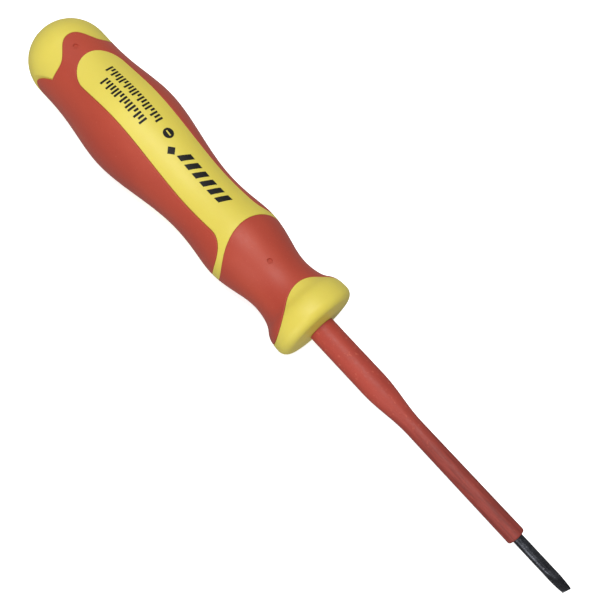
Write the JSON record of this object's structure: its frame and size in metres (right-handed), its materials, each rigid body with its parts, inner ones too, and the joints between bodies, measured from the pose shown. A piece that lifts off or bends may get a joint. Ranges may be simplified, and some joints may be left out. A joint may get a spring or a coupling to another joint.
{
  "type": "insulated slotted screwdriver",
  "caption": "Slotted screwdriver with an insulated shaft, a two-colour hard and soft handle and a flared nose guard.",
  "frame": {"origin": "on the tool's axis, at the crown of the guard's front face, where the sleeve leaves the handle", "axes": "+X along the tool towards the blade's edge, +Z out of the handle's upper panel, +Y across the tool"},
  "size_m": [0.1717, 0.0238, 0.0237],
  "materials": {
    "blackened_steel": "black oxide, worn bright along the ground edges",
    "sleeve_insulation": "satin moulded",
    "hard_core": "fine satin moulded",
    "soft_grip": "matte soft-touch overmould"
  },
  "bodies": {
    "root": {"blade": "blackened_steel", "blade_sleeve": "sleeve_insulation", "handle_core": "hard_core", "rear_grip": "soft_grip", "front_grip": "soft_grip"}
  },
  "joints": []
}
